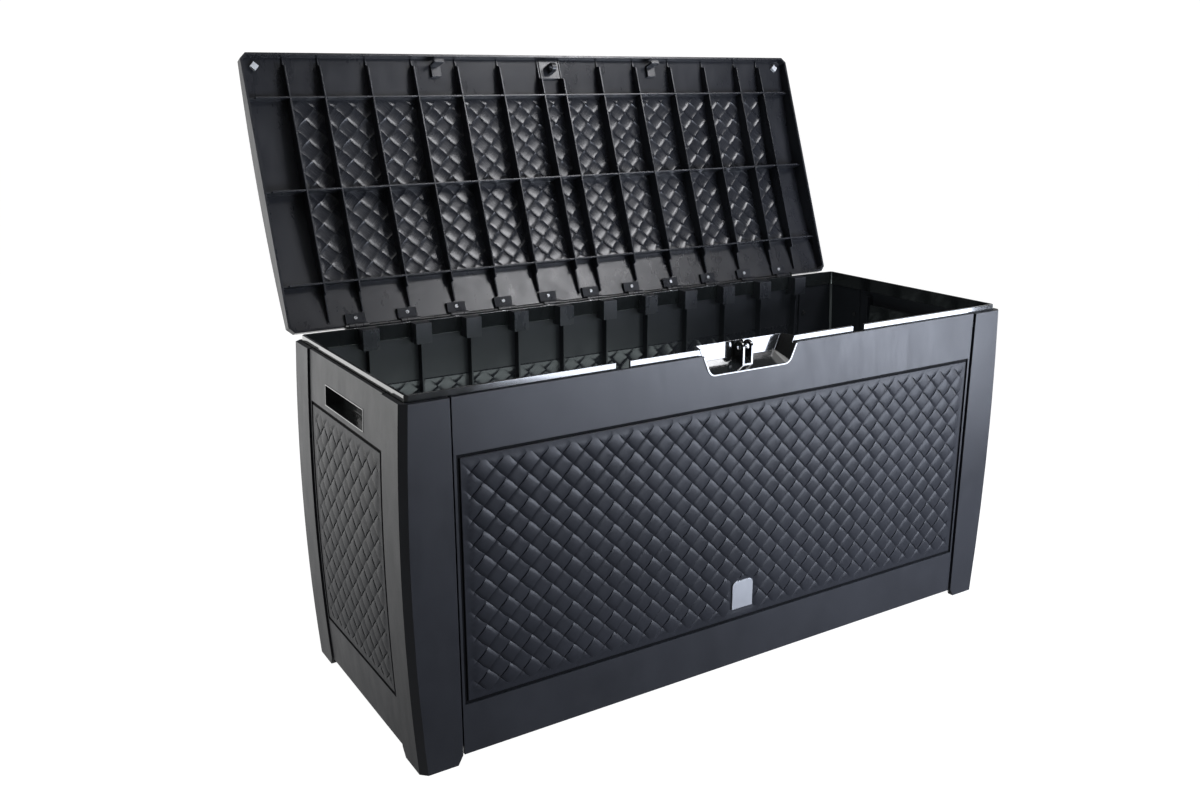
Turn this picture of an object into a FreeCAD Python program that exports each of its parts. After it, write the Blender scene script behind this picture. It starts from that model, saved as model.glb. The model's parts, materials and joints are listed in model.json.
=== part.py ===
import FreeCAD, Part
import math
import os

# Deck storage box of moulded panels: four walls between four corner posts on a two-part floor,
# an upright rim frame inside the wall tops, and a crowned, ribbed lid that turns on one long rod
# behind the rear wall.
# Frame: X along the length, Y from front (-) to rear (+), Z up. The origin is the middle of the
# footprint, at the level of the ground. Millimetres. The lid is modelled shut and then opened.

V = FreeCAD.Vector

# ---- driving dimensions ----
wall_top = 562.0           # height of the wall tops
top_half_length = 592.0    # half length at the wall tops
waist_half_length = 600.0  # half length where the ends bulge most
foot_half_length = 588.0   # half length at the ground
waist_height = 270.0
half_depth = 225.0
corner_cut = 10.0          # 45 degree cut on the upright corners
skin = 5.0                 # wall thickness
wall_setback = 3.0         # walls stand back from the posts
wall_foot = 13.0           # air under the walls
post_on_front = 522.0      # the posts begin here, measured from the middle
post_on_side = 156.5
post_skin = 4.0
joint_gap = 3.7            # open joint between a post and a wall

band_bottom = 94.0         # the woven field of a wall lies between these heights
band_top = 479.0
field_depth = 2.5
field_edge = 4.0           # from the woven field to the end of its wall
wall_rib_pitch = 94.4
wall_rib_height = 15.0
wall_rib_thickness = 3.0
rib_foot = 26.0            # the wall ribs stand just over the floor
front_rib_top = 530.0
rear_rib_top = 536.0       # up to the hinge's backing blocks

rim_inset = 9.4
rim_thickness = 4.0
rim_height = 10.0          # rim above the wall tops
rim_depth = 17.0           # rim below the wall tops
rim_gap = 1.0               # left between the post flanges and the rim frame over them
notch_x = 238.0
notch_width = 25.0

hinge_y = 248.7
hinge_z = 566.2
rod_radius = 3.0
rod_clearance = 0.06
open_angle = 110.0

lid_front = -227.0
lid_rear = 248.0
lid_bottom = 563.0
lid_edge_top = 581.0
lid_crown_top = 600.0
lid_skin = 4.0
lid_field_front = -152.0
lid_field_rear = 168.0
lid_field_half = 513.0
lid_field_depth = 1.6
lid_rib_first = 24.0
lid_rib_pitch = 86.5
lid_rib_last = 518.0
lid_rib_thickness = 3.0
lid_rib_tip = 567.0        # height of the rib tips with the lid shut
rib_air = 2.6              # air between the rib ends and the body
hook_foot_front = -213.0
cross_ribs_y = [-152.0, 8.0, 168.0]
cross_rib_tip = 568.5
lap_z = 579.0              # ribs and cross ribs are halved into each other at this height

# ---- worked out from them ----
outer = wall_setback
inner = wall_setback + skin
rim_inner = rim_inset + rim_thickness
rim_top = wall_top + rim_height
wall_end_x = post_on_front - joint_gap
wall_end_y = post_on_side - joint_gap
bearing_x = [wall_rib_pitch * k for k in range(-5, 6)]
lid_ribs_x = [lid_rib_first + lid_rib_pitch * k for k in range(6)] + [lid_rib_last]
lid_ribs_x = sorted([-x for x in lid_ribs_x] + lid_ribs_x)


def box(x0, x1, y0, y1, z0, z1):
    return Part.makeBox(x1 - x0, y1 - y0, z1 - z0, V(x0, y0, z0))


def rod(radius, x0, x1, y, z):
    """Cylinder along X."""
    return Part.makeCylinder(radius, x1 - x0, V(x0, y, z), V(1, 0, 0))


def joined(pieces):
    first = pieces[0]
    return first.fuse(pieces[1:]).removeSplitter() if len(pieces) > 1 else first


def group(pieces):
    return Part.makeCompound(pieces)


def plate(points, x0, x1):
    """Prism along X with a section given as (y, z) points."""
    wire = Part.makePolygon([V(x0, y, z) for y, z in points + points[:1]])
    return Part.Face(wire).extrude(V(x1 - x0, 0, 0))


def end_circle():
    """Centre height, centre distance and radius of the arc that the end walls follow."""
    (xa, za), (xb, zb), (xc, zc) = ((top_half_length, wall_top), (waist_half_length, waist_height),
                                    (foot_half_length, 0.0))
    a, b = 2 * (xb - xa), 2 * (zb - za)
    c, d = 2 * (xc - xa), 2 * (zc - za)
    e = xb * xb + zb * zb - xa * xa - za * za
    f = xc * xc + zc * zc - xa * xa - za * za
    cx = (e * d - b * f) / (a * d - b * c)
    cz = (a * f - c * e) / (a * d - b * c)
    return cx, cz, math.hypot(xa - cx, za - cz)


end_cx, end_cz, end_radius = end_circle()


def end_x(z):
    """Half length of the box at height z."""
    return end_cx + math.sqrt(end_radius ** 2 - (z - end_cz) ** 2)


def body_block(inset, bottom, top):
    """The solid outline of the body, drawn in by inset all round, with cut upright corners."""
    y0 = -half_depth + inset
    mid = (bottom + top) / 2

    def p(sign, z):
        return V(sign * (end_x(z) - inset), y0, z)

    edges = [Part.LineSegment(p(-1, bottom), p(1, bottom)).toShape(),
             Part.Arc(p(1, bottom), p(1, mid), p(1, top)).toShape(),
             Part.LineSegment(p(1, top), p(-1, top)).toShape(),
             Part.Arc(p(-1, top), p(-1, mid), p(-1, bottom)).toShape()]
    solid = Part.Face(Part.Wire(edges)).extrude(V(0, 2 * (half_depth - inset), 0))
    upright = [e for e in solid.Edges if e.BoundBox.ZLength > 0.9 * (top - bottom)]
    return solid.makeChamfer(max(corner_cut - 0.586 * inset, 1.0), upright)


def body_ring(inset, thickness, bottom, top):
    """The wall of body_block between inset and inset + thickness."""
    return body_block(inset, bottom, top).cut(body_block(inset + thickness, bottom - 1, top + 1))


def mirrored_x(shape):
    return shape.mirror(V(0, 0, 0), V(1, 0, 0))


def mirrored_y(shape):
    return shape.mirror(V(0, 0, 0), V(0, 1, 0))


# ---- latch scoop in the front wall ----
scoop_front_y = -226.0
scoop_back_y = -191.0
scoop_wall = 3.0
scoop_rim_proud = 1.0
# half width at the rim, half width at the bottom, height of the bottom and corner radius
scoop_front = (100.0, 79.0, 529.0, 15.0)
scoop_back = (87.0, 74.0, 545.0, 4.0)


def scoop_section(y, half_top, half_bottom, bottom, radius):
    """Closed outline in an XZ plane: a trapezium, open side up, with rounded lower corners."""
    top = rim_top + 3
    corner = V(half_bottom, y, bottom)
    up = V(half_top - half_bottom, 0, top - bottom).normalize()
    reach = radius * math.tan((math.pi - up.getAngle(V(-1, 0, 0))) / 2)
    flat_end = corner + V(-reach, 0, 0)
    slope_start = corner + up * reach
    mid = corner + (V(-1, 0, 0) + up).normalize() * (math.hypot(reach, radius) - radius)

    def flip(v):
        return V(-v.x, v.y, v.z)

    top_right = V(half_top, y, top)
    edges = [Part.LineSegment(flip(top_right), flip(slope_start)).toShape(),
             Part.Arc(flip(slope_start), flip(mid), flip(flat_end)).toShape(),
             Part.LineSegment(flip(flat_end), flat_end).toShape(),
             Part.Arc(flat_end, mid, slope_start).toShape(),
             Part.LineSegment(slope_start, top_right).toShape(),
             Part.LineSegment(top_right, flip(top_right)).toShape()]
    return Part.Wire(edges)


def scoop_block(grow):
    sections = []
    for y, (half_top, half_bottom, bottom, radius) in ((scoop_front_y, scoop_front),
                                                       (scoop_back_y + grow, scoop_back)):
        sections.append(scoop_section(y, half_top + grow, half_bottom + grow, bottom - grow, radius + grow))
    return Part.makeLoft(sections, True, True)


scoop_hollow = scoop_block(0.0)
scoop_outside = scoop_block(scoop_wall)


def latch_scoop():
    """Thin tray that opens to the front; above the wall top it stands behind the face of the rim."""
    front = -half_depth + wall_setback - scoop_rim_proud
    back = scoop_back_y + scoop_wall
    low = box(-120, 120, front, back, 500, wall_top - 1)
    high = box(-120, 120, -half_depth + rim_inset, back, wall_top - 1, rim_top)
    return scoop_outside.cut(scoop_hollow).common(low.fuse(high))


ear_x = 6.5               # inner faces of the two ears of the padlock staple
ear_thickness = 4.0
ear_y = -203.0
ear_half = 11.0
staple_foot = 3.0          # thickness of the staple's base on the floor of the scoop
hasp_z = 562.5
hasp_radius = 4.5


def eared_plate(x0, x1, half, centre_z, bottom):
    """Upright plate across X with a round top."""
    block = box(x0, x1, ear_y - half, ear_y + half, bottom, centre_z)
    return joined([block, rod(half, x0, x1, ear_y, centre_z)])


def padlock_staple():
    outside = ear_x + ear_thickness
    right = eared_plate(ear_x, outside, ear_half, hasp_z, 520)
    floor = scoop_hollow.cut(scoop_hollow.translated(V(0, 0, staple_foot)))
    base = floor.common(box(-outside, outside, ear_y - ear_half, ear_y + ear_half, 520, 552))
    staple = joined([right.common(scoop_hollow), mirrored_x(right).common(scoop_hollow), base])
    return staple.cut(rod(hasp_radius, -20, 20, ear_y, hasp_z))


# ---- side handles ----
handle_half = 78.5
handle_bottom = 489.0
handle_top = 519.0
handle_wall = 2.5
handle_depth = 24.0
handle_proud = 0.6         # lip of the cup beyond the wall


def handle_block(grow, depth):
    x_face = end_x((handle_bottom + handle_top) / 2)
    return box(-x_face - 10, -x_face + wall_setback + depth, -handle_half - grow, handle_half + grow,
               handle_bottom - grow, handle_top + grow)


def handle_cup():
    outside = handle_block(handle_wall, handle_depth + handle_wall)
    outside = outside.common(body_block(outer - handle_proud, 400, wall_top))
    return outside.cut(handle_block(0.0, handle_depth))


# ---- screws: a head and a shank, used as the cutter for their own holes ----
def screw(at, direction, length, head_radius=4.5, head_height=2.2, shank_radius=2.0):
    """The head sits on the face at 'at'; the shank goes 'length' the other way."""
    head = Part.makeCylinder(head_radius, head_height, at, direction)
    shank = Part.makeCylinder(shank_radius, length, at, direction * -1)
    return joined([head, shank])


flange_inset = inner + 3.0  # the posts reach this far inwards behind the walls
flange_reach = 25.0
screw_edge = 12.0          # from a wall's end to its screws
flange_seat = 0.4          # the side flanges are curved, so their screw heads sit this much deeper
screw_heights = (90.0, 290.0, 490.0)


def panel_screws():
    found = []
    for z in screw_heights:
        for sx in (-1, 1):
            for sy in (-1, 1):
                x = sx * (wall_end_x - screw_edge)
                y = sy * (half_depth - flange_inset)
                found.append(screw(V(x, y, z), V(0, -sy, 0), 4.5))
                x = sx * (end_x(z) - flange_inset - flange_seat)
                y = sy * (wall_end_y - screw_edge)
                found.append(screw(V(x, y, z), V(-sx, 0, 0), 5.0))
    return found


# ---- hinge: bearings on the rear wall, knuckles under the lid ----
bearing_half = 7.0
bearing_outside = 6.2
bearing_plate_half = 14.5
bearing_plate_low = 530.0
bearing_plate = 4.0
block_depth = 21.0
block_low = 536.0
knuckle_gap = 0.6
knuckle_length = 10.0
knuckle_cut = 7.2          # the lid's rear skirt is cut back to this radius round the rod
hinge_screw_z = 540.5
hinge_screw_x = 10.7       # to each side of a bearing's middle
small_screw = {"head_radius": 3.2, "head_height": 1.6, "shank_radius": 1.7}


def hinge_bearing(x):
    wall_face = half_depth - wall_setback
    back = box(x - bearing_plate_half, x + bearing_plate_half, wall_face, wall_face + bearing_plate,
               bearing_plate_low, wall_top - 1)
    arm = plate([(wall_face + 3, 532), (wall_face + 3, 552), (hinge_y - 5.5, hinge_z - 2.5),
                 (hinge_y, hinge_z - 1), (hinge_y + 6.5, hinge_z - 2.75), (hinge_y + 14, hinge_z - 5.5),
                 (hinge_y + 14, hinge_z - 10), (hinge_y + 4, hinge_z - 13)],
                x - bearing_half, x + bearing_half)
    ring = rod(bearing_outside, x - bearing_half, x + bearing_half, hinge_y, hinge_z)
    bore = rod(rod_radius + rod_clearance, x - 30, x + 30, hinge_y, hinge_z)
    return joined([back, arm, ring]).cut(bore)


def backing_block(x):
    y1 = half_depth - rim_inner
    upper = box(x - bearing_plate_half, x + bearing_plate_half, y1 - block_depth, y1,
                block_low, rim_top - 0.5)
    low_top = wall_top - rim_depth
    lower = box(x - bearing_plate_half, x + bearing_plate_half, y1 - 2, half_depth - inner,
                block_low, low_top)
    return joined([upper, lower])


def hinge_screws():
    found = []
    for x in bearing_x:
        for dx in (-hinge_screw_x, hinge_screw_x):
            at = V(x + dx, half_depth - wall_setback + bearing_plate, hinge_screw_z)
            found.append(screw(at, V(0, 1, 0), 16, **small_screw))
    return found


# ---- lid, modelled shut ----
def crown(front, rear, edge, top, x0, x1, low):
    """Block along X under an arc from (front, edge) over the middle at 'top' to (rear, edge)."""
    mid = (front + rear) / 2
    edges = [Part.LineSegment(V(x0, front, low), V(x0, front, edge)).toShape(),
             Part.Arc(V(x0, front, edge), V(x0, mid, top), V(x0, rear, edge)).toShape(),
             Part.LineSegment(V(x0, rear, edge), V(x0, rear, low)).toShape(),
             Part.LineSegment(V(x0, rear, low), V(x0, front, low)).toShape()]
    return Part.Face(Part.Wire(edges)).extrude(V(x1 - x0, 0, 0))


def lid_block(inset, low, drop=0.0):
    """Outline of the lid drawn in by inset, its crown lowered by a further drop."""
    half = top_half_length - inset
    block = crown(lid_front + inset, lid_rear - inset, lid_edge_top - inset - drop,
                  lid_crown_top - inset - drop, -half, half, low)
    upright = [e for e in block.Edges
               if e.BoundBox.XLength < 0.01 and e.BoundBox.YLength < 0.01]
    return block.makeChamfer(corner_cut - 0.586 * inset, upright)


lid_field = box(-lid_field_half, lid_field_half, lid_field_front, lid_field_rear, 500, 700)
lid_hollow = lid_block(lid_skin, lid_bottom - 20)
lid_plateau = lid_field.common(lid_hollow).cut(lid_block(lid_skin, lid_bottom - 20, lid_field_depth))
lid_room = lid_hollow.cut(lid_plateau)


def lid_shell():
    outside = lid_block(0.0, lid_bottom)
    top_edges = [e for e in outside.Edges if e.BoundBox.ZMin > lid_edge_top - 0.5]
    outside = outside.makeFillet(2.5, top_edges)
    sunk = lid_field.common(lid_block(0.0, lid_bottom)).cut(lid_block(0.0, lid_bottom - 5, lid_field_depth))
    shell = outside.cut(lid_hollow).fuse(lid_plateau).cut(sunk)
    hinge_room = rod(knuckle_cut, -bearing_x[-1] - 26, bearing_x[-1] + 26, hinge_y, hinge_z)
    return shell.cut(hinge_room).removeSplitter()


def lid_rib(x):
    """Rib from front to rear, cut up over the rim and the hinge blocks, and over the latch scoop."""
    front = lid_front + lid_skin
    rear = lid_rear - lid_skin
    over = rim_top + 2.0
    reach = half_depth - rim_inner - block_depth - rib_air
    front_reach = -scoop_back_y - scoop_wall if abs(x) < 95 else half_depth - rim_inner
    front_reach -= rib_air
    rise = over - lid_rib_tip
    section = [(front, over + 1.5), (-front_reach - 1, over + 1.5), (-front_reach + rise * 0.35, lid_rib_tip),
               (reach - rise * 0.35, lid_rib_tip), (reach + 1, over), (rear - 10, over), (rear - 10, 610),
               (front, 610)]
    half = lid_rib_thickness / 2
    slots = [box(x - half, x + half, y - half, y + half, 500, lap_z) for y in cross_ribs_y]
    return plate(section, x - half, x + half).cut(slots)


def cross_rib(y):
    """Rib from end to end, cut up over the rim at both ends."""
    half = lid_rib_thickness / 2
    deep = top_half_length - rim_inner - rib_air
    rib = box(-top_half_length, top_half_length, y - half, y + half, rim_top + 2.0, 610)
    rib = rib.fuse(box(-deep, deep, y - half, y + half, cross_rib_tip, 600))
    slots = [box(x - half, x + half, y - half, y + half, lap_z, 620) for x in lid_ribs_x]
    return rib.cut(slots)


knuckle_front = 224.0      # front edge of the brackets' base plates
knuckle_low = hinge_z + 7.4
knuckle_screw_y = 232.0
cap_radius = 5.0
cap_half = 2.5


def knuckle_bracket(x):
    """Base plate under the lid with a knuckle on each side of the bearing."""
    half = bearing_half + knuckle_gap + knuckle_length
    base = box(x - half, x + half, knuckle_front, lid_rear - lid_skin, knuckle_low, lid_crown_top)
    base = base.common(lid_room)
    pieces = [base]
    for x0 in (x - half, x + bearing_half + knuckle_gap):
        pieces.append(rod(bearing_outside, x0, x0 + knuckle_length, hinge_y, hinge_z))
        pieces.append(box(x0, x0 + knuckle_length, hinge_y - bearing_outside, lid_rear - lid_skin,
                          hinge_z, knuckle_low + 1.6))
    return joined(pieces).cut(rod(rod_radius, x - 40, x + 40, hinge_y, hinge_z))


def knuckle_screws():
    return [screw(V(x, knuckle_screw_y, knuckle_low), V(0, 0, -1), 4.6, **small_screw) for x in bearing_x]


def rod_cap(side):
    """Push-on cap at one end of the rod."""
    middle = side * (bearing_x[-1] + 21)
    cap = rod(cap_radius, middle - cap_half, middle + cap_half, hinge_y, hinge_z)
    return cap.cut(rod(rod_radius, middle - 10, middle + 10, hinge_y, hinge_z))


def catch_hook():
    """Right hook: a tongue that drops into the rim notch, with a nose towards the front."""
    half = notch_width / 2 - 3
    section = [(-216, 554.6), (-209.5, 554.6), (-209.5, 590), (-213, 590), (-213, 558.5), (-216, 556.8)]
    foot = [(hook_foot_front, 574.5), (-190, 574.5), (-190, 590), (hook_foot_front, 590)]
    x0, x1 = notch_x - half, notch_x + half
    hook = joined([plate(section, x0, x1), plate(foot, x0, x1)])
    return hook.common(lid_room)


def latch_tongue():
    """Bracket whose tongue stands between the ears of the staple when the lid is shut."""
    half, tip_radius = 4.5, 9.0
    tongue = box(-half, half, ear_y - tip_radius, ear_y + tip_radius, hasp_z, 590)
    tip = rod(tip_radius, -half, half, ear_y, hasp_z)
    base = box(-21, 21, -222, -186, 575.4, 590)
    bracket = joined([tongue, tip, base]).common(lid_room)
    return bracket.cut(rod(hasp_radius + 0.5, -20, 20, ear_y, hasp_z))


def corner_pad():
    """Right pad: a small square set at 45 degrees in the lid's front corner."""
    pad = box(-5.5, 5.5, -5.5, 5.5, 573.4, 600)
    pad.rotate(V(0, 0, 0), V(0, 0, 1), 45)
    return pad.translated(V(567, -208, 0)).common(lid_room)


# ---- body ----
foot_height = 15.0         # the posts' inner edges are cut back over this height above the ground
foot_slant = 8.0


def corner_post():
    """Front left post: an angle of two leaves with a flange behind each wall, on its own foot."""
    corner = box(-640, -post_on_front, -240, -post_on_side, 0, wall_top)
    leaves = body_ring(0.0, post_skin, 0, wall_top).common(corner)
    core = box(-640, -post_on_front - post_skin, -240, -post_on_side - post_skin, 5, wall_top - 5)
    edges = body_ring(0.0, flange_inset, 0, wall_top - 25).common(corner).cut(core)
    cap = body_ring(0.0, inner, wall_top - 5, wall_top).common(corner)
    angle = joined([leaves, edges, cap])
    behind = box(-640, -post_on_front + joint_gap + flange_reach, -240,
                 -post_on_side + joint_gap + flange_reach, 27, wall_top - rim_depth - rim_gap)
    flange = body_ring(inner, flange_inset - inner, 20, wall_top).common(behind)
    wedge_x = Part.Face(Part.makePolygon([V(-post_on_front, -300, foot_height), V(-post_on_front, -300, 0),
                                          V(-post_on_front - foot_slant, -300, 0),
                                          V(-post_on_front, -300, foot_height)])).extrude(V(0, 200, 0))
    wedge_y = plate([(-post_on_side, foot_height), (-post_on_side, 0), (-post_on_side - foot_slant, 0)],
                    -700, -560)
    return joined([angle.cut(wedge_x).cut(wedge_y), flange])


def long_wall(rib_top):
    """Front wall without its scoop: a plate with a sunk field outside and upright ribs inside."""
    y0 = -half_depth + outer
    wall = box(-wall_end_x, wall_end_x, y0, y0 + skin, wall_foot, wall_top)
    end = wall_end_x - field_edge
    field = box(-end, end, y0 - 1, y0 + field_depth, band_bottom, band_top)
    half = wall_rib_thickness / 2
    ribs = [box(x - half, x + half, y0 + skin, y0 + skin + wall_rib_height, rib_foot, rib_top)
            for x in bearing_x]
    return joined([wall.cut(field)] + ribs)


def end_wall():
    """Left wall: as the long walls, but following the arc of the ends."""
    span = box(-640, -540, -wall_end_y, wall_end_y, wall_foot, wall_top)
    end = wall_end_y - field_edge
    field_span = box(-640, -540, -end, end, band_bottom, band_top)
    wall = body_ring(outer, skin, wall_foot, wall_top).common(span)
    field = body_ring(outer - 2, field_depth + 2, wall_foot, wall_top).common(field_span)
    half = wall_rib_thickness / 2
    ring = body_ring(inner, wall_rib_height, 20, wall_top)
    ribs = []
    for y, top in ((-wall_rib_pitch, rear_rib_top), (0, handle_bottom - 8), (wall_rib_pitch, rear_rib_top)):
        ribs.append(ring.common(box(-640, -540, y - half, y + half, rib_foot, top)))
    return joined([wall.cut(field)] + ribs).cut(handle_block(handle_wall, handle_depth))


def rim_frame():
    low = wall_top - rim_depth
    upright = body_ring(rim_inset, rim_thickness, low + 4, rim_top)
    ledge = body_ring(inner, rim_inner - inner, low, low + 4)
    frame = joined([upright, ledge]).cut(scoop_outside)
    for x in (-notch_x, notch_x):
        frame = frame.cut(box(x - notch_width / 2, x + notch_width / 2, -230, -205, 552, 600))
    return frame


def badge_plate():
    """Plain plate with round top corners."""
    half, low, high, radius = 21.5, 115.0, 165.0, 9.0
    back = -half_depth + outer + field_depth
    blank = box(-half, half, back - 3.3, back, low, high)
    top = [e for e in blank.Edges if e.BoundBox.YLength > 3 and e.BoundBox.ZMin > high - 0.1]
    return blank.makeFillet(radius, top)


floor_top = 25.0
floor_low = 21.5
floor_rib_low = 13.0
beam_half = 28.0


def floor_half():
    """Left half of the floor: a plate on a grid of ribs."""
    inset = flange_inset + 0.4
    span = box(-640, -0.3, -240, 240, floor_rib_low, floor_top)
    deck = body_block(inset, floor_low, floor_top).common(span)
    room = body_block(inset + 20, floor_rib_low, floor_low).common(span)
    half = wall_rib_thickness / 2
    bars = [box(-x - half, -x + half, -240, 240, floor_rib_low, floor_low) for x in range(60, 560, 70)]
    bars += [box(-640, 0, y - half, y + half, floor_rib_low, floor_low) for y in range(-160, 161, 80)]
    ribs = room.common(bars[0].fuse(bars[1:])).cut(box(-beam_half, beam_half, -240, 240, 0, floor_low))
    return joined([deck, ribs])


def floor_beam():
    """Beam under the joint of the floor halves, with the middle foot under it."""
    beam = box(-beam_half, beam_half, -190, 190, 8, floor_low)
    groove = box(-beam_half + 4, beam_half - 4, -186, 186, 6, floor_low - 4)
    foot = box(-beam_half, beam_half, -30, 30, 0, 12)
    end_feet = [box(-beam_half, beam_half, y - 15, y + 15, 0, 12) for y in (-165, 165)]
    return joined([beam.cut(groove), foot] + end_feet)


def floor_rails():
    """Ledges on the four walls that carry the edges of the floor."""
    ring = body_ring(inner, 17.0, wall_foot + 1, floor_low)
    clear_x = post_on_front - joint_gap - flange_reach - 2
    clear_y = post_on_side - joint_gap - flange_reach - 2
    spans = [box(-clear_x, clear_x, -240, -180, 0, 30), box(-clear_x, clear_x, 180, 240, 0, 30),
             box(-640, -540, -clear_y, clear_y, 0, 30), box(540, 640, -clear_y, clear_y, 0, 30)]
    return [ring.common(span) for span in spans]


def opened(shape):
    turned = shape.copy()
    turned.rotate(V(0, hinge_y, hinge_z), V(1, 0, 0), -open_angle)
    return turned


def write(name, shape):
    shape.exportStep("parts/" + name + ".step")
    print(name, len(shape.Solids), "valid" if shape.isValid() else "NOT VALID",
          round(shape.Volume / 1000, 1), "cm3")


os.makedirs("parts", exist_ok=True)

screws = panel_screws()
wall_screws = hinge_screws()

behind_scoop = box(-98, 98, -half_depth + inner, -180, 500, wall_top - 2)
front_wall = long_wall(front_rib_top).cut(scoop_outside.fuse(behind_scoop))
rear_wall = mirrored_y(long_wall(rear_rib_top))
left_wall = end_wall()
body = {
    "front_wall": front_wall.cut(screws),
    "rear_wall": rear_wall.cut(screws + wall_screws),
    "left_wall": left_wall.cut(screws),
    "right_wall": mirrored_x(left_wall).cut(screws),
    "rim_frame": rim_frame(),
    "latch_scoop": latch_scoop(),
    "padlock_staple": padlock_staple(),
    "badge_plate": badge_plate(),
    "handle_cup_left": handle_cup(),
    "handle_cup_right": mirrored_x(handle_cup()),
    "floor_left": floor_half(),
    "floor_right": mirrored_x(floor_half()),
    "floor_beam": floor_beam(),
    "floor_rails": group(floor_rails()),
    "hinge_bearings": group([hinge_bearing(x).cut(wall_screws) for x in bearing_x]),
    "hinge_backing_blocks": group([backing_block(x).cut(wall_screws) for x in bearing_x]),
    "panel_screws": group(screws),
    "hinge_screws": group(wall_screws),
}
post = corner_post()
for name, shape in (("front_left", post), ("front_right", mirrored_x(post)), ("rear_left", mirrored_y(post)),
                    ("rear_right", mirrored_x(mirrored_y(post)))):
    body["corner_post_" + name] = shape.cut(screws)

brackets = [knuckle_bracket(x) for x in bearing_x]
lid_screws = knuckle_screws()
envelope = [box(x - 18, x + 18, 222, 250, 560, 600) for x in bearing_x]
tongue = latch_tongue()
hooks = {"left": mirrored_x(catch_hook()), "right": catch_hook()}
in_the_way = envelope + [tongue, hooks["left"], hooks["right"]]
lid = {
    "lid_shell": lid_shell().cut(lid_screws),
    "lid_ribs": group([lid_rib(x).common(lid_room).cut(in_the_way) for x in lid_ribs_x]),
    "lid_cross_ribs": group([cross_rib(y).common(lid_room) for y in cross_ribs_y]),
    "lid_knuckles": group([b.cut(lid_screws) for b in brackets]),
    "knuckle_screws": group(lid_screws),
    "catch_hook_left": hooks["left"],
    "catch_hook_right": hooks["right"],
    "latch_tongue": tongue,
    "lid_pad_left": mirrored_x(corner_pad()),
    "lid_pad_right": corner_pad(),
    "hinge_rod": rod(rod_radius, bearing_x[0] - 24, bearing_x[-1] + 24, hinge_y, hinge_z),
    "rod_caps": group([rod_cap(-1), rod_cap(1)]),
}

for name, shape in body.items():
    write(name, shape)
for name, shape in lid.items():
    write(name, opened(shape))
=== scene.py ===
import json
import math

import bmesh
import bpy
import numpy as np
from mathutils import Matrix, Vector


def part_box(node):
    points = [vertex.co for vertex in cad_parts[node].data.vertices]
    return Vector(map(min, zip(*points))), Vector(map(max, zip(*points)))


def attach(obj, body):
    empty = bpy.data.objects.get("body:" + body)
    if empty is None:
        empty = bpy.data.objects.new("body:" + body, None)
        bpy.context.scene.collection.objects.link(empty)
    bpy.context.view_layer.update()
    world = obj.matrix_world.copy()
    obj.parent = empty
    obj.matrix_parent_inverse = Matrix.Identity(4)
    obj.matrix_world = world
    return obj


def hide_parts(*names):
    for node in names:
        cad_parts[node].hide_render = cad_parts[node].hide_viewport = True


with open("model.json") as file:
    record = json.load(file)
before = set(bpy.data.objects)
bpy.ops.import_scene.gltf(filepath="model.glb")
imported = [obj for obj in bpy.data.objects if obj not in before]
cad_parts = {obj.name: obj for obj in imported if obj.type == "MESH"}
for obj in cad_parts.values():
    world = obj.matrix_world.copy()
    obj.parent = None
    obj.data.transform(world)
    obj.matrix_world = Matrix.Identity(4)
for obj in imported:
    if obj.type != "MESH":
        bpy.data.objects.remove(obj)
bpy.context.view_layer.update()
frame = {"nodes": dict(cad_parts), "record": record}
nodes = frame["nodes"]
print("frame loaded:", len(nodes), "nodes")


# places read from the frame, in metres
def sideOf(node, corner, axis):
    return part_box(node)[corner]["xyz".index(axis)]


frontFace = sideOf("corner_post_front_left", 0, "y")   # outermost face of the body in front
rearFace = sideOf("corner_post_rear_left", 1, "y")
hinge = next(j for j in frame["record"]["behaviour"]["joints"] if j["name"] == "lid_hinge")
hingeY, hingeZ = hinge["pos_m"][1:]
openAngle = math.radians(hinge["range_deg"][1])
mm = 0.001


class Wire:
    # wraps an output socket so that sums and products can be written as expressions
    def __init__(self, shade, socket):
        self.shade = shade
        self.socket = socket

    def maths(self, operation, *values):
        return self.shade.node("ShaderNodeMath", {"operation": operation}, dict(enumerate(values)))

    def __add__(self, other):
        return self.maths("ADD", self, other)

    def __radd__(self, other):
        return self.maths("ADD", other, self)

    def __sub__(self, other):
        return self.maths("SUBTRACT", self, other)

    def __rsub__(self, other):
        return self.maths("SUBTRACT", other, self)

    def __mul__(self, other):
        return self.maths("MULTIPLY", self, other)

    def __rmul__(self, other):
        return self.maths("MULTIPLY", other, self)


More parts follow.
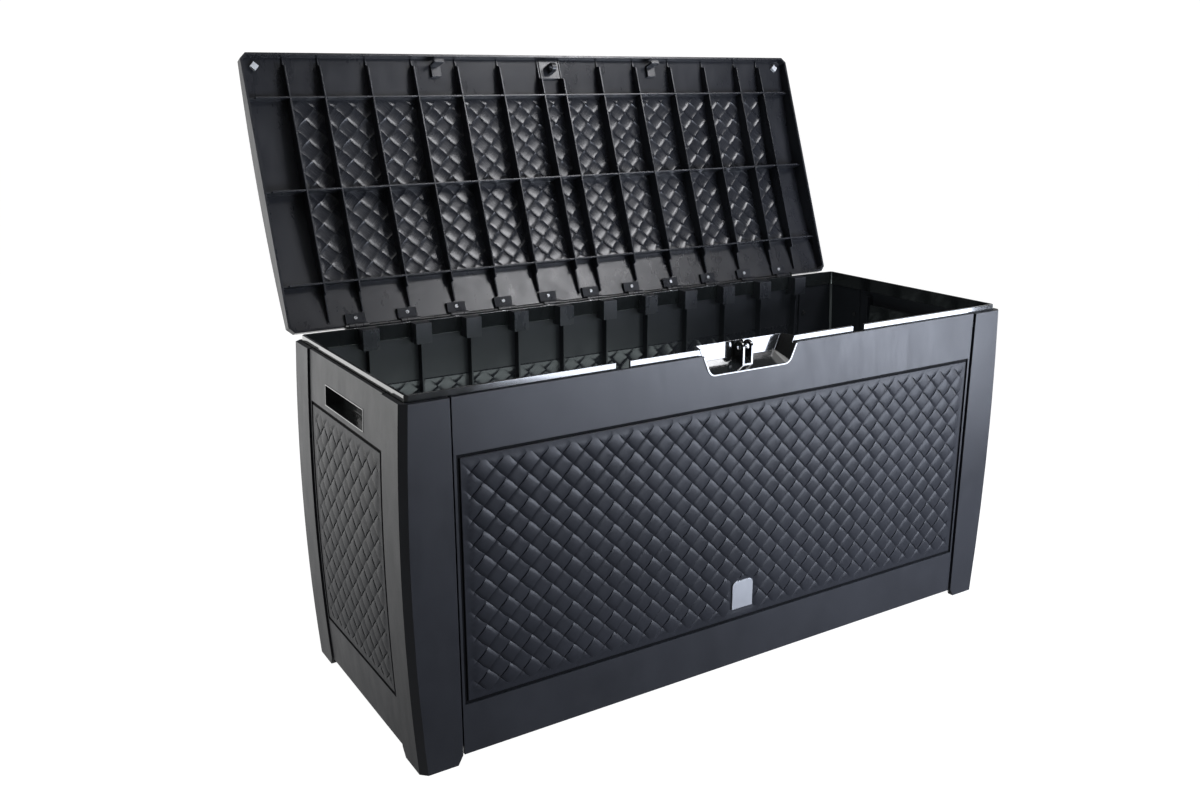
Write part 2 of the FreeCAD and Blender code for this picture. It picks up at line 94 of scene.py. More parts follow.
class Shade:
    # one material or world and the nodes that are added to it
    def __init__(self, owner):
        owner.use_nodes = True
        self.owner = owner
        self.tree = owner.node_tree

    @classmethod
    def named(cls, name):
        return cls(bpy.data.materials.new(name))

    def node(self, kind, settings=None, sockets=None, output=0):
        made = self.tree.nodes.new(kind)
        for key, value in (settings or {}).items():
            setattr(made, key, value)
        for key, value in (sockets or {}).items():
            self.plug(made.inputs[key], value)
        return Wire(self, made.outputs[output])

    def plug(self, socket, value):
        if isinstance(value, Wire):
            self.tree.links.new(value.socket, socket)
        else:
            socket.default_value = value

    def surface(self, **values):
        principled = self.tree.nodes["Principled BSDF"]
        for key, value in values.items():
            self.plug(principled.inputs[key.replace("_", " ")], value)
        return self.owner

    def place(self, scale=(1, 1, 1)):
        # object coordinates, stretched
        spot = self.node("ShaderNodeTexCoord", output=3)
        return self.node("ShaderNodeMapping", {}, {"Vector": spot, "Scale": scale})

    def noise(self, vector, scale, detail=3.0, roughness=0.5):
        return self.node("ShaderNodeTexNoise", {}, {"Vector": vector, "Scale": scale, "Detail": detail,
                                                    "Roughness": roughness})

    def range(self, value, low, high, fromLow=0.0, fromHigh=1.0):
        return self.node("ShaderNodeMapRange", {"clamp": True},
                         {"Value": value, "From Min": fromLow, "From Max": fromHigh,
                          "To Min": low, "To Max": high})

    def blend(self, factor, first, second):
        # colour between two colours
        return self.node("ShaderNodeMix", {"data_type": "RGBA"}, {0: factor, 6: first, 7: second}, output=2)

    def bump(self, height, strength, distance, under=None):
        # a relief, on top of another one when under is given
        sockets = {"Height": height, "Strength": strength, "Distance": distance}
        if under is not None:
            sockets["Normal"] = under
        return self.node("ShaderNodeBump", {}, sockets)


# the dark plastic of most pieces; lengths in metres
resin = {
    "base": (0.0100, 0.0108, 0.0135, 1), "pale": (0.0135, 0.0145, 0.0180, 1),
    "cloudScale": 5.0,                        # patches of paler pigment
    "markScale": 38.0,                        # handling marks in the gloss, drawn out upwards
    "roughLow": 0.34, "roughHigh": 0.46, "shine": 0.25,
    "grainScale": 1500.0, "grainDepth": 0.00012, "grainStrength": 0.5,
    "sinkScale": 11.0, "sinkDepth": 0.0010, "sinkStrength": 0.35,   # slow waves left by uneven cooling
    "coat": 0.0, "coatRough": 0.06,
}
glossResin = dict(resin, base=(0.0070, 0.0080, 0.0085, 1), pale=(0.0090, 0.0100, 0.0105, 1),
                  roughLow=0.10, roughHigh=0.18, shine=0.5, coat=1.0,
                  grainScale=420.0, grainDepth=0.00002, sinkScale=14.0, sinkDepth=0.0004)
floorResin = dict(resin, base=(0.0080, 0.0090, 0.0095, 1), pale=(0.0120, 0.0130, 0.0140, 1),
                  roughLow=0.42, roughHigh=0.6,
                  grainScale=1100.0, grainDepth=0.00012, sinkScale=9.0, sinkDepth=0.0008)
# near-black and dull: painted shade for the groove round each wall's woven sheet
paintedShadeResin = dict(resin, base=(0.0025, 0.0027, 0.0032, 1), pale=(0.0035, 0.0038, 0.0045, 1),
                 roughLow=0.65, roughHigh=0.8, shine=0.05)


def mouldedResin(name, shade):
    # dark moulded plastic: cloudy pigment, handling marks in the gloss, and a fine spark-eroded grain
    m = Shade.named(name)
    spot = m.place()
    cloud = m.noise(spot, shade["cloudScale"], 4.0, 0.6)
    marks = m.noise(m.place((1, 1, 0.35)), shade["markScale"], 5.0, 0.65)
    grain = m.noise(spot, shade["grainScale"], 2.0, 0.6)
    colour = m.blend(m.range(cloud, 0, 1, 0.35, 0.65), shade["base"], shade["pale"])
    rough = m.range(marks * 0.6 + cloud * 0.4, shade["roughLow"], shade["roughHigh"], 0.36, 0.64)
    waves = m.noise(spot, shade["sinkScale"], 1.5, 0.4)
    sink = m.bump(waves, shade["sinkStrength"], shade["sinkDepth"])
    normal = m.bump(grain, shade["grainStrength"], shade["grainDepth"], sink)
    return m.surface(Base_Color=colour, Roughness=rough, Normal=normal, Coat_Weight=shade["coat"],
                     Coat_Roughness=shade["coatRough"], Specular_IOR_Level=shade["shine"])


wovenOutside = dict(resin, roughLow=0.32, shine=0.14, fibreScale=(900.0, 45.0, 1.0), fibreDepth=0.00016,
                    fibreStrength=0.45)
wovenInside = dict(wovenOutside, roughLow=0.20, roughHigh=0.31, shine=0.36, fibreDepth=0.00005)


def wovenResin(name, shade):
    # as the resin, with shallow drawn lines along each strand, from the piece's own strand map
    m = Shade.named(name)
    spot = m.place()
    cloud = m.noise(spot, shade["cloudScale"], 4.0, 0.6)
    strand = m.node("ShaderNodeUVMap", {"uv_map": "strand"})
    drawn = m.node("ShaderNodeMapping", {}, {"Vector": strand, "Scale": shade["fibreScale"]})
    lines = m.noise(drawn, 1.0, 3.0, 0.55)
    grain = m.noise(spot, shade["grainScale"], 2.0, 0.6)
    colour = m.blend(m.range(cloud * 0.6 + lines * 0.4, 0, 1, 0.38, 0.64), shade["base"], shade["pale"])
    rough = m.range(lines * 0.6 + cloud * 0.4, shade["roughLow"], shade["roughHigh"], 0.36, 0.64)
    normal = m.bump(lines * 0.75 + grain * 0.35, shade["fibreStrength"], shade["fibreDepth"])
    return m.surface(Base_Color=colour, Roughness=rough, Normal=normal, Specular_IOR_Level=shade["shine"])


badge = {"base": (0.32, 0.33, 0.35, 1), "pale": (0.39, 0.40, 0.42, 1), "roughLow": 0.30, "roughHigh": 0.44,
         "metallic": 0.75, "brushScale": (900.0, 900.0, 12.0), "brushDepth": 0.00004}


def silverPlate(name):
    # satin silver paint with faint upright brushing
    m = Shade.named(name)
    streak = m.noise(m.place(badge["brushScale"]), 1.0, 3.0, 0.6)
    cloud = m.noise(m.place(), 60.0, 2.0)
    colour = m.blend(cloud, badge["base"], badge["pale"])
    rough = m.range(streak, badge["roughLow"], badge["roughHigh"], 0.3, 0.7)
    normal = m.bump(streak, 0.25, badge["brushDepth"])
    return m.surface(Base_Color=colour, Roughness=rough, Metallic=badge["metallic"], Normal=normal)


felt = {"base": (0.38, 0.39, 0.40, 1), "pale": (0.52, 0.53, 0.54, 1), "rough": 0.9,
        "napScale": 1400.0, "napDepth": 0.0004}


def softPad(name):
    # grey felted pad
    m = Shade.named(name)
    nap = m.noise(m.place(), felt["napScale"], 4.0, 0.7)
    colour = m.blend(m.range(nap, 0, 1, 0.3, 0.7), felt["base"], felt["pale"])
    return m.surface(Base_Color=colour, Roughness=felt["rough"], Normal=m.bump(nap, 0.7, felt["napDepth"]))


zincPlating = {"base": (0.46, 0.47, 0.48, 1), "pale": (0.60, 0.60, 0.60, 1), "metallic": 0.95,
               "roughLow": 0.22, "roughHigh": 0.42, "spangleScale": 260.0, "spangleDepth": 0.00004}
blackPlating = dict(zincPlating, base=(0.010, 0.011, 0.012, 1), pale=(0.022, 0.022, 0.024, 1), metallic=0.1)


def platedSteel(name, shade):
    # plated steel with a spangled gloss
    m = Shade.named(name)
    spangle = m.noise(m.place(), shade["spangleScale"], 4.0, 0.6)
    colour = m.blend(spangle, shade["base"], shade["pale"])
    rough = m.range(spangle, shade["roughLow"], shade["roughHigh"], 0.3, 0.7)
    return m.surface(Base_Color=colour, Roughness=rough, Metallic=shade["metallic"],
                     Normal=m.bump(spangle, 0.2, shade["spangleDepth"]))


matteSkin = mouldedResin("anthracite resin", resin)
lidSkin = mouldedResin("lid resin", dict(resin, roughLow=0.24, roughHigh=0.36, shine=0.42))
# near-black: painted shade in the groove round each wall's woven sheet
paintedShadeSkin = mouldedResin("painted groove shade", paintedShadeResin)
wovenSkin = wovenResin("woven resin", wovenOutside)
wovenGloss = wovenResin("woven resin inside", wovenInside)
finishes = {
    "anthracite_resin": matteSkin,
    "glossy_resin": mouldedResin("glossy resin", glossResin),
    "floor_resin": mouldedResin("floor resin", floorResin),
    "badge_silver": silverPlate("satin silver"),
    "pad_grey": softPad("grey felt"),
    "zinc_steel": platedSteel("zinc plated steel", zincPlating),
    "black_steel": platedSteel("black plated steel", blackPlating),
}
# nodes that have the lid's smoother finish, whatever their slot
satinNodes = ("lid_shell", "lid_ribs", "lid_cross_ribs", "lid_knuckles", "catch_hook_left",
              "catch_hook_right", "latch_tongue", "hinge_bearings", "hinge_backing_blocks")
for part in frame["record"]["subparts"]:
    skin = lidSkin if part["node"] in satinNodes else finishes[part["material_slot"]]
    mesh = nodes[part["node"]].data
    mesh.materials.clear()
    mesh.materials.append(skin)


# the sunk field of each wall, outside and inside, and how the woven sheets lie in it
wallField = {
    "low": 94 * mm, "high": 479 * mm, "halfLong": 514.3 * mm, "halfEnd": 148.8 * mm,
    "setback": 3 * mm,         # of a wall's face behind the posts
    "depth": 2.5 * mm,         # of the field below the wall's face
    "inside": 5 * mm,          # of the wall's inner face behind its outer one
    "lift": 0.1 * mm,          # of a sheet's back out of the plane it lies on
    "gap": 6.0 * mm, "margin": 8.0 * mm,             # groove round a sheet, and its flat margin
    "innerGap": 0.5 * mm, "innerMargin": 1.5 * mm,   # the same inside
}
edges = {   # radius of the rounding on each moulded piece, in millimetres
    "corner_post_front_left": 2.2, "corner_post_front_right": 2.2,
    "corner_post_rear_left": 2.2, "corner_post_rear_right": 2.2,
    "front_wall": 0.9, "rear_wall": 0.9, "left_wall": 0.9, "right_wall": 0.9,
    "rim_frame": 0.8, "latch_scoop": 0.7, "padlock_staple": 0.5, "badge_plate": 0.4,
    "handle_cup_left": 0.8, "handle_cup_right": 0.8, "lid_shell": 1.0,
    "lid_ribs": 0.6, "lid_cross_ribs": 0.6, "hinge_backing_blocks": 0.8, "lid_knuckles": 0.5,
    "catch_hook_left": 0.6, "catch_hook_right": 0.6, "latch_tongue": 0.6,
    "lid_pad_left": 0.4, "lid_pad_right": 0.4, "hinge_bearings": 0.5,
}
rounding = {
    "segments": 2, "fromAngle": 34,   # only edges that turn by more degrees than this are rounded
    "flatWithin": 0.5,                # triangles this many degrees apart are one face
    "weight": 90,                     # how strongly a large face keeps its own shading
    "merge": 0.001 * mm,              # points nearer than this are one
}
outward = {
    "front_wall": (0, -1, 0), "rear_wall": (0, 1, 0), "left_wall": (-1, 0, 0), "right_wall": (1, 0, 0),
}
# which groove faces get the painted shade
grooveShadeMask = {"slack": 0.5 * mm, "facing": 0.3}          # how far past the field, and how squarely outward
lidOutside = {"facing": 0.2, "skirtFacing": 0.7, "skirtFrom": 580 * mm}   # the skirt's ends lie beyond this


def reshape(mesh, change):
    # hands a mesh to change() for editing and writes it back
    bm = bmesh.new()
    bm.from_mesh(mesh)
    change(bm)
    bm.to_mesh(mesh)
    bm.free()


def pointsOf(mesh):
    # the places of a mesh's vertices, one row each
    co = np.empty(len(mesh.vertices) * 3, dtype=np.float32)
    mesh.vertices.foreach_get("co", co)
    return co.reshape(-1, 3).astype(float)


def paintGrooveShade(mesh, facing):
    # the sunk field of a wall shows only as the groove round its woven sheet; its outward faces get a
    # near-black, dull material, painted shade for the groove's shadow
    mesh.materials.append(paintedShadeSkin)
    side, half = (0, wallField["halfLong"]) if facing.y else (1, wallField["halfEnd"])
    points = pointsOf(mesh)
    for face in mesh.polygons:
        corners = points[list(face.vertices)]
        along, up = np.abs(corners[:, side]), corners[:, 2]
        inField = (along.max() < half + grooveShadeMask["slack"] and up.min() > wallField["low"] - grooveShadeMask["slack"]
                   and up.max() < wallField["high"] + grooveShadeMask["slack"])
        if inField and face.normal.dot(facing) > grooveShadeMask["facing"]:
            face.material_index = 1


def dullOutside(mesh):
    # the lid is smooth inside only: what faces up or outwards when it is shut has the walls' finish
    mesh.materials.append(matteSkin)
    upright = Vector((0, math.sin(openAngle), math.cos(openAngle)))   # straight up on the shut lid
    middle = sum((Vector(corner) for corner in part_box("lid_shell")), Vector()) / 2
    for face in mesh.polygons:
        reach = face.center - middle
        skirtEnd = (abs(face.normal.x) > lidOutside["skirtFacing"] and face.normal.x * reach.x > 0
                    and abs(reach.x) > lidOutside["skirtFrom"])
        if face.normal.dot(upright) > lidOutside["facing"] or skirtEnd:
            face.material_index = 1


def mergeFlat(bm):
    # joins the loose triangles of a flat face into one
    bmesh.ops.remove_doubles(bm, verts=bm.verts[:], dist=rounding["merge"])
    bmesh.ops.dissolve_limit(bm, angle_limit=math.radians(rounding["flatWithin"]), verts=bm.verts[:],
                             edges=bm.edges[:], delimit={"NORMAL"})


def roundedCopy(node, radius):
    # a merged copy of a panel with its sharp edges rounded over, which stands for the panel
    mesh = nodes[node].data.copy()
    reshape(mesh, mergeFlat)
    mesh.shade_smooth()
    piece = bpy.data.objects.new(node.replace("_", " ").title().replace(" ", "") + "Rounded", mesh)
    bpy.context.collection.objects.link(piece)
    bevel = piece.modifiers.new("round", "BEVEL")
    bevel.width = radius * mm
    bevel.segments = rounding["segments"]
    bevel.limit_method = "ANGLE"
    bevel.angle_limit = math.radians(rounding["fromAngle"])
    bevel.use_clamp_overlap = True
    even = piece.modifiers.new("even", "WEIGHTED_NORMAL")
    even.weight = rounding["weight"]
    even.keep_sharp = True
    bpy.context.view_layer.update()
    solid = bpy.data.meshes.new_from_object(piece.evaluated_get(bpy.context.evaluated_depsgraph_get()))
    piece.modifiers.clear()
    piece.data = solid
    # the walls get painted shade in the groove round their woven sheets
    if node in outward:
        paintGrooveShade(solid, Vector(outward[node]))
    if node == "lid_shell":
        dullOutside(solid)
    body = next(b for b, group in frame["record"]["behaviour"]["bodies"].items() if node in group)
    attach(piece, body)
    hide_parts(node)
    low, high = (np.array(corner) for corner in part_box(node))
    points = pointsOf(solid)
    beyond = max((points.max(0) - high).max(), (low - points.min(0)).max())
    print(node, len(solid.polygons), "faces, out by", round(beyond / mm, 3), "mm")


for node, radius in edges.items():
    roundedCopy(node, radius)


weave = {
    "pitch": 36.5 * mm,        # distance between like strands, along and up
    "base": 1.3 * mm,          # height of a strand where it dives under its neighbour
    "rise": 2.3 * mm,          # crown of a strand above that
    "flat": 0.42,              # below 1 the crown is flat with steep ends
    "dip": 0.12,               # share of the crown that is lost at a strand's long edges
    "drop": 0.35 * mm,         # rounding of a strand's long edges
    "shoulder": 0.88,          # where that rounding starts, from 0 at the middle to 1 at the edge
    "pit": 0.25 * mm,          # depth and size of the hollow where four strands meet
    "pitSize": 2.0 * mm,
    "pull": 1.2 * mm,          # how far a strand's long edges draw in at the middle
    "hollowBase": 1.95 * mm,   # the base on a hollow sheet
    "marginHeight": 2.3 * mm,
    "fade": 5.0 * mm,          # over which the relief runs out into the margin
    "lip": 0.7 * mm,           # width and drop of the rounded edge outside the margin
    "lipDrop": 0.6 * mm,
    "pressed": 0.8 * mm,       # height left under a plate
    "fibreShift": 0.37,        # moves the drawn lines from one crossing to the next
    "merge": 0.002 * mm,       # points nearer than this are one
    "sharpFrom": 35,           # degrees
}
insideDepth = 0.6              # share of the relief that shows at the back of a moulding
cuts = np.array([0, 0.075, 0.25, 0.5, 0.75, 0.925, 1])   # sample places across one crossing


def strandGrid(width, height):
    # A square lattice turned 45 degrees, one crossing per cell, with the strands over and under by turns.
    # Along a strand on top the height is base + rise * sin(pi t)^flat * (1 - dip c^2), where t runs along
    # and c across it, less a drop at its long edges. Cell edges are doubled, so the steps are upright.
    side = weave["pitch"] / math.sqrt(2)
    reach = (width + height) / 2 / math.sqrt(2) + side
    count = 2 * int(math.ceil(reach / side)) + 2
    cell = np.repeat(np.arange(count) - count // 2, len(cuts))
    part = np.tile(cuts, count)
    i, j = np.meshgrid(cell, cell, indexing="ij")
    x, y = np.meshgrid(part, part, indexing="ij")
    even = (i + j) % 2 == 0
    sign = np.where(even, 1.0, -1.0)
    bowX, bowY = np.sin(math.pi * x), np.sin(math.pi * y)
    a = (i + x) * side + sign * weave["pull"] * bowY ** 2 * (2 * x - 1)
    b = (j + y) * side + sign * weave["pull"] * bowX ** 2 * (1 - 2 * y)
    t, c = np.where(even, x, y), 2 * np.where(even, y, x) - 1
    crown = np.clip(np.sin(math.pi * t), 0, 1) ** weave["flat"] * (1 - weave["dip"] * c ** 2)
    edge = np.clip((np.abs(c) - weave["shoulder"]) / (1 - weave["shoulder"]), 0, 1) ** 2
    corner = np.hypot(np.minimum(x, 1 - x), np.minimum(y, 1 - y)) * side
    pit = np.exp(-(corner / weave["pitSize"]) ** 2)
    h = weave["base"] + weave["rise"] * crown - weave["drop"] * edge - weave["pit"] * pit
    u = (a - b) / math.sqrt(2)
    v = (a + b) / math.sqrt(2)
    across = np.where(even, b, a)
    along = np.where(even, a, b) + weave["fibreShift"] * np.where(even, i, j)
    return np.stack([u, v, h], -1), np.stack([across, along], -1)


def strandMesh(name, width, height):
    # the open relief, cut along the four sides of its rectangle, with the strand map as its UVs
    points, strand = strandGrid(width, height)
    n, m = points.shape[:2]
    index = np.arange(n * m).reshape(n, m)
    quads = np.stack([index[:-1, :-1], index[1:, :-1], index[1:, 1:], index[:-1, 1:]], -1).reshape(-1, 4)
    flat = points.reshape(-1, 3)
    near = np.abs(flat[quads]).min(1)
    quads = quads[(near[:, 0] < width / 2) & (near[:, 1] < height / 2)]
    used, quads = np.unique(quads, return_inverse=True)
    mesh = bpy.data.meshes.new(name)
    mesh.from_pydata(flat[used], [], quads.reshape(-1, 4))
    loops = np.empty(len(mesh.loops), dtype=np.int32)
    mesh.loops.foreach_get("vertex_index", loops)
    uv = mesh.uv_layers.new(name="strand")
    uv.data.foreach_set("uv", strand.reshape(-1, 2)[used][loops].astype(np.float32).ravel())

    def cutOut(bm):
        bmesh.ops.remove_doubles(bm, verts=bm.verts[:], dist=weave["merge"])
        bmesh.ops.dissolve_degenerate(bm, edges=bm.edges[:], dist=weave["merge"])
        for away in ((-1, 0, 0), (1, 0, 0), (0, -1, 0), (0, 1, 0)):
            spot = (away[0] * width / 2, away[1] * height / 2, 0)
            bmesh.ops.bisect_plane(bm, geom=bm.verts[:] + bm.edges[:] + bm.faces[:], dist=1e-6,
                                   plane_co=spot, plane_no=away, clear_outer=True)
        bmesh.ops.remove_doubles(bm, verts=bm.verts[:], dist=weave["merge"])

    reshape(mesh, cutOut)
    return mesh


def addRings(mesh):
    # two strips of faces round the open edge; gives each point's ring, which is 0 on the relief itself
    counts = [len(mesh.vertices)]

    def extend(bm):
        for _ in range(2):
            bmesh.ops.extrude_edge_only(bm, edges=[e for e in bm.edges if e.is_boundary])
            counts.append(len(bm.verts))

    reshape(mesh, extend)
    return np.searchsorted(counts[:2], np.arange(counts[2]), side="right")


def reliefHeight(points, width, height, hollow, patch):
    # The height runs out into the margin by a smooth step at the sheet's sides, and is pressed flat inside
    # the patch. On a hollow sheet high and low change places first.
    across, up, high = points.T
    if hollow:
        high = weave["hollowBase"] + weave["rise"] - high
    room = np.minimum(width / 2 - np.abs(across), height / 2 - np.abs(up))
    ease = np.clip(room / weave["fade"], 0, 1)
    ease = ease * ease * (3 - 2 * ease)
    high = weave["marginHeight"] + (high - weave["marginHeight"]) * ease
    if patch:
        away = np.maximum(np.abs(across - patch[0]) - patch[2], np.abs(up - patch[1]) - patch[3])
        keep = np.clip((away - weave["fade"] / 2) / weave["fade"], 0, 1)
        high = weave["pressed"] + (high - weave["pressed"]) * keep
    return high


def wovenSheet(name, width, height, place, skin, margin, depth=1.0, hollow=False, patch=None):
    # The relief on a rectangle, with a flat margin round it and a closed back, laid on a surface by
    # place(). A hollow sheet is the back of the same weave: what stands proud outside is sunk here. A
    # patch, given by its middle and half sizes, is pressed flat for a plate to sit on.
    mesh = strandMesh(name, width, height)
    ring = addRings(mesh)
    front = pointsOf(mesh)
    front[:, 2] = reliefHeight(front, width, height, hollow, patch)
    for level, out, drop in ((1, margin, 0.0), (2, margin + weave["lip"], weave["lipDrop"])):
        at = ring == level
        front[at, 0] *= 1 + 2 * out / width
        front[at, 1] *= 1 + 2 * out / height
        front[at, 2] = weave["marginHeight"] - drop
    front[:, 2] *= depth
    # the back is a flat copy of the front: each point remembers which one it was made from
    mesh.attributes.new("source", "INT", "POINT").data.foreach_set("value", np.arange(len(front)))
    reshape(mesh, lambda bm: bmesh.ops.extrude_face_region(bm, geom=bm.faces[:], use_keep_orig=True))
    source = np.empty(len(mesh.vertices), dtype=np.int32)
    mesh.attributes["source"].data.foreach_get("value", source)
    mesh.attributes.remove(mesh.attributes["source"])
    solid = front[source]
    solid[:len(front), 2] = 0.0
    placed = np.stack(place(*solid.T), -1)
    mesh.vertices.foreach_set("co", placed.astype(np.float32).ravel())
    mesh.update()
    reshape(mesh, lambda bm: bmesh.ops.recalc_face_normals(bm, faces=bm.faces[:]))
    mesh.shade_smooth()
    mesh.set_sharp_from_angle(angle=math.radians(weave["sharpFrom"]))
    mesh.materials.append(skin)
    piece = bpy.data.objects.new(name, mesh)
    bpy.context.collection.objects.link(piece)
    return piece


middle = (wallField["low"] + wallField["high"]) / 2
trim = 2 * (wallField["gap"] + wallField["margin"])
innerTrim = 2 * (wallField["innerGap"] + wallField["innerMargin"])
fieldHeight = wallField["high"] - wallField["low"] - trim
fieldY = -frontFace - wallField["setback"] - wallField["depth"] + wallField["lift"]
innerY = rearFace - wallField["setback"] - wallField["inside"] + wallField["lift"]


# Where a sheet's points go: u is along the wall, v up from the middle of its field, and h out of the
# sheet's back, towards whoever looks at that side of the wall.
def onFront(u, v, h):
    return u, -fieldY - h, middle + v


def onRear(u, v, h):
    return -u, fieldY + h, middle + v


def onRearInside(u, v, h):
    return u, innerY - h, middle + v


def onFrontInside(u, v, h):
    x, y, z = onRearInside(u, v, h)
    return -x, -y, z


# three points of a bowed end in the upright plane, as distance from the middle and height
endArc = {"top": (592 * mm, 562 * mm), "waist": (600 * mm, 270 * mm), "foot": (588 * mm, 0.0)}


def circleThrough(p, q, r):
    # centre and radius of the circle through three points, from the perpendicular bisectors
    rows = 2 * np.array([[q[0] - p[0], q[1] - p[1]], [r[0] - p[0], r[1] - p[1]]])
    sums = np.array([np.dot(q, q) - np.dot(p, p), np.dot(r, r) - np.dot(p, p)])
    centre = np.linalg.solve(rows, sums)
    return centre, math.dist(centre, p)


endCentre, endRadius = circleThrough(endArc["top"], endArc["waist"], endArc["foot"])


def onEnd(sign):
    # across a bowed end wall: x follows the end's arc at that height
    def place(u, v, h):
        z = middle + v
        reach = endCentre[0] + np.sqrt(endRadius ** 2 - (z - endCentre[1]) ** 2)
        x = reach - wallField["setback"] - wallField["depth"] + wallField["lift"] + h
        return sign * x, sign * u, z
    return place


longWidth = 2 * wallField["halfLong"] - trim
endWidth = 2 * wallField["halfEnd"] - trim
plateLow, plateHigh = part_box("badge_plate")
plate = ((plateLow[0] + plateHigh[0]) / 2, (plateLow[2] + plateHigh[2]) / 2 - middle,
         (plateHigh[0] - plateLow[0]) / 2, (plateHigh[2] - plateLow[2]) / 2)
for name, width, place, patch in (("frontWeave", longWidth, onFront, plate),
                                  ("rearWeave", longWidth, onRear, None),
                                  ("leftWeave", endWidth, onEnd(-1), None),
                                  ("rightWeave", endWidth, onEnd(1), None)):
    outer = wovenSheet(name, width, fieldHeight, place, wovenSkin, wallField["margin"], patch=patch)
    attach(outer, "box_body")
for name, place in (("rearWallWeaveInside", onRearInside), ("frontWallWeaveInside", onFrontInside)):
    inner = wovenSheet(name, longWidth, fieldHeight, place, wovenGloss, wallField["innerMargin"],
                       insideDepth, True)
    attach(inner, "box_body")
print("woven walls done")

# the lid's crown and its sunk field, given for the shut lid
lidField = {
    "front": -152 * mm, "rear": 168 * mm, "half": 513 * mm,
    "depth": 1.6 * mm,         # of the field below the crown
    "skin": 4 * mm,            # thickness of the shell
    "shutFront": -227 * mm, "shutRear": 248 * mm,
    "edge": 581 * mm, "crown": 600 * mm,             # heights of the crown's sides and middle
    "outsideDepth": 0.5,       # share of the walls' relief
}
lidMiddle = (lidField["shutFront"] + lidField["shutRear"]) / 2
fieldMiddle = (lidField["front"] + lidField["rear"]) / 2


def crownArc(inset):
    # centre height and radius of the lid's crown, drawn in by inset
    halfChord = (lidField["shutRear"] - lidField["shutFront"]) / 2 - inset
    sag = lidField["crown"] - lidField["edge"]
    radius = (halfChord ** 2 + sag ** 2) / (2 * sag)
    return lidField["crown"] - inset - radius, radius


def opened(x, y, z):
    # turns the shut lid about the hinge to where it stands open
    cos, sin = math.cos(-openAngle), math.sin(-openAngle)
    dy, dz = y - hingeY, z - hingeZ
    return x, hingeY + dy * cos - dz * sin, hingeZ + dy * sin + dz * cos


def onCrown(inset, side):
    # over the crown: v is arc length from the field's middle, h is outward for side 1 and inward for -1
    centreZ, radius = crownArc(inset)

    def place(u, v, h):
        angle = (fieldMiddle - lidMiddle) / radius + v / radius
        far = radius - lidField["depth"] + side * (h + wallField["lift"])
        return opened(side * u, lidMiddle + far * np.sin(angle), centreZ + far * np.cos(angle))
    return place


lidWidth = 2 * lidField["half"]
lidDepth = lidField["rear"] - lidField["front"]
outside = wovenSheet("lidWeaveOutside", lidWidth - trim, lidDepth - trim, onCrown(0.0, 1), wovenSkin,
                     wallField["margin"], lidField["outsideDepth"])
inside = wovenSheet("lidWeaveInside", lidWidth - innerTrim, lidDepth - innerTrim,
                    onCrown(lidField["skin"], -1), wovenGloss, wallField["innerMargin"], insideDepth, True)
for sheet in (outside, inside):
    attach(sheet, "lid")
print("woven lid done")


# The camera sees a white floor and backdrop; the box is lit by a bright backdrop behind it and a dim room
# in front, so that the dark resin shows its highlights. "seen" is how bright the camera sees it, and
# "behind" and "before" how bright it is to everything else.
stage = {"size": 60.0, "dark": 0.08, "pale": 0.11, "rough": 0.8, "seen": 0.98, "behind": 1.60,
         "before": 0.10, "fadeFrom": -0.4, "fadeTo": 2.1}
sky = {"seen": 1.05, "behind": 1.0, "before": 0.20, "above": 0.06, "low": 0.10, "high": 0.30, "turn": 0.3}


def grey(value):
    return (value, value, value, 1)


def studioFloor():
    # one large plain floor under the box
    half = stage["size"] / 2
    mesh = bpy.data.meshes.new("studioFloor")
    corners = [(-half, -half, 0), (half, -half, 0), (half, half, 0), (-half, half, 0)]
    mesh.from_pydata(corners, [], [(0, 1, 2, 3)])
    m = Shade.named("floor white")
    spot = m.node("ShaderNodeTexCoord", output=3)
    depth = m.node("ShaderNodeSeparateXYZ", {}, {0: spot}, output=1)
    ease = m.range(depth, 0, 1, stage["fadeFrom"], stage["fadeTo"])
    cast = m.blend(ease, grey(stage["before"]), grey(stage["behind"]))
    seen = m.node("ShaderNodeLightPath", output=0)
    glow = m.blend(seen, cast, grey(stage["seen"]))
    mottle = m.noise(m.place(), 3.0, 3.0)
    colour = m.blend(mottle, grey(stage["dark"]), grey(stage["pale"]))
    mesh.materials.append(m.surface(Base_Color=colour, Roughness=stage["rough"], Emission_Color=glow,
                                    Emission_Strength=1.0))
    floor = bpy.data.objects.new("studioFloor", mesh)
    bpy.context.collection.objects.link(floor)


studioFloor()

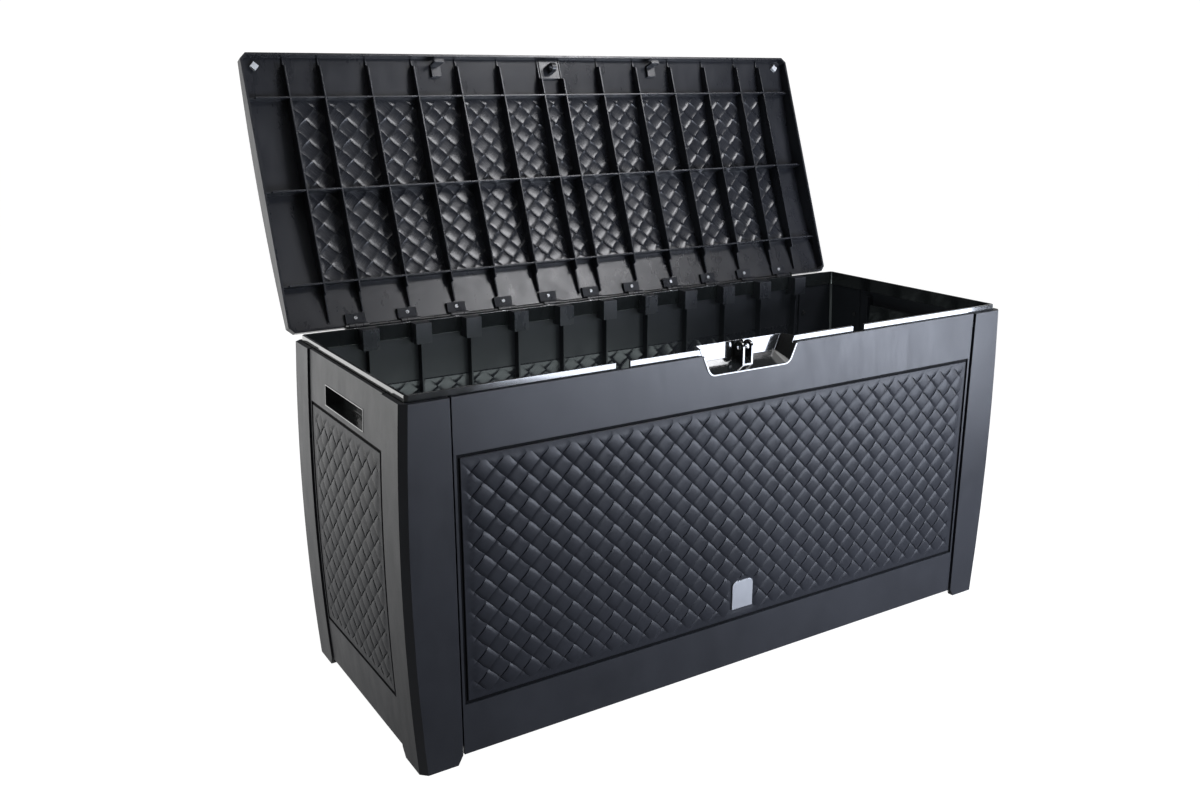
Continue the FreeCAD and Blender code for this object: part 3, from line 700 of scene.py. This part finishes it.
lights = {
    "key": {"at": (0.79, -1.31, 0.46), "to": (-0.16, -0.36, 0.46), "size": (1.36, 0.64), "power": 52,
            "tint": (0.80, 0.86, 1.0)},
    "high": {"at": (1.18, -1.17, 2.30), "to": (-0.1, 0.3, 0.65), "size": (0.75, 0.50), "power": 27,
             "tint": (0.97, 0.97, 1.0)},
    "left": {"at": (-2.4, 1.1, 0.9), "to": (-0.5, 0.0, 0.35), "size": (1.4, 1.2), "power": 45,
             "tint": (1.0, 1.0, 0.95)},
    "right": {"at": (2.4, -0.55, 0.5), "to": (0.0, -0.24, 0.3), "size": (1.1, 0.9), "power": 15,
              "tint": (0.88, 0.92, 1.0)},
    "inner": {"at": (-0.1, -0.185, 0.30), "to": (-0.1, 0.2, 0.42), "size": (1.0, 0.14), "power": 1.8,
              "tint": (0.88, 1.0, 1.0)},
    "top": {"at": (0.0, -0.2, 3.4), "to": (0.0, 0.0, 0.0), "size": (3.0, 2.0), "power": 40,
            "tint": (1.0, 1.0, 1.0)},
}


def aimed(place, target):
    # turns -Z of a lamp towards the target
    return (Vector(target) - Vector(place)).to_track_quat("-Z", "Y").to_euler()


for name, lamp in lights.items():
    data = bpy.data.lights.new(name, "AREA")
    data.shape = "RECTANGLE"
    data.size, data.size_y = lamp["size"]
    data.energy = lamp["power"]
    data.color = lamp["tint"]
    source = bpy.data.objects.new(name, data)
    source.location = lamp["at"]
    source.rotation_euler = aimed(lamp["at"], lamp["to"])
    source.visible_camera = False
    bpy.context.collection.objects.link(source)


def studioSky():
    # white behind the box near the horizon, dimmer in front of it and above
    world = bpy.data.worlds.new("studio")
    m = Shade(world)
    split = m.node("ShaderNodeSeparateXYZ", {}, {0: m.node("ShaderNodeTexCoord", output=0)})
    across = Wire(m, split.socket.node.outputs[1])
    up = Wire(m, split.socket.node.outputs[2])
    level = m.range(across, sky["before"], sky["behind"], -sky["turn"], sky["turn"])
    cast = m.range(up, 1, 0, sky["low"], sky["high"]) * (level - sky["above"]) + sky["above"]
    seen = m.node("ShaderNodeLightPath", output=0)
    strength = seen * sky["seen"] + (1 - seen) * cast
    back = world.node_tree.nodes["Background"]
    back.inputs["Color"].default_value = (1.0, 1.0, 1.0, 1)
    m.plug(back.inputs["Strength"], strength)
    bpy.context.scene.world = world


studioSky()

view = {"lens": 33.64, "sensor": 36, "at": (-1.1189, -1.5528, 0.9759), "yaw": 0.5611, "pitch": 0.2811}
cameraData = bpy.data.cameras.new("camera")
cameraData.sensor_width = view["sensor"]
cameraData.lens = view["lens"]
camera = bpy.data.objects.new("camera", cameraData)
camera.location = view["at"]
camera.rotation_euler = (math.pi / 2 - view["pitch"], 0, -view["yaw"])
bpy.context.collection.objects.link(camera)
bpy.context.scene.camera = camera
bpy.context.scene.view_settings.view_transform = "Standard"
print("stage, lights and camera set")
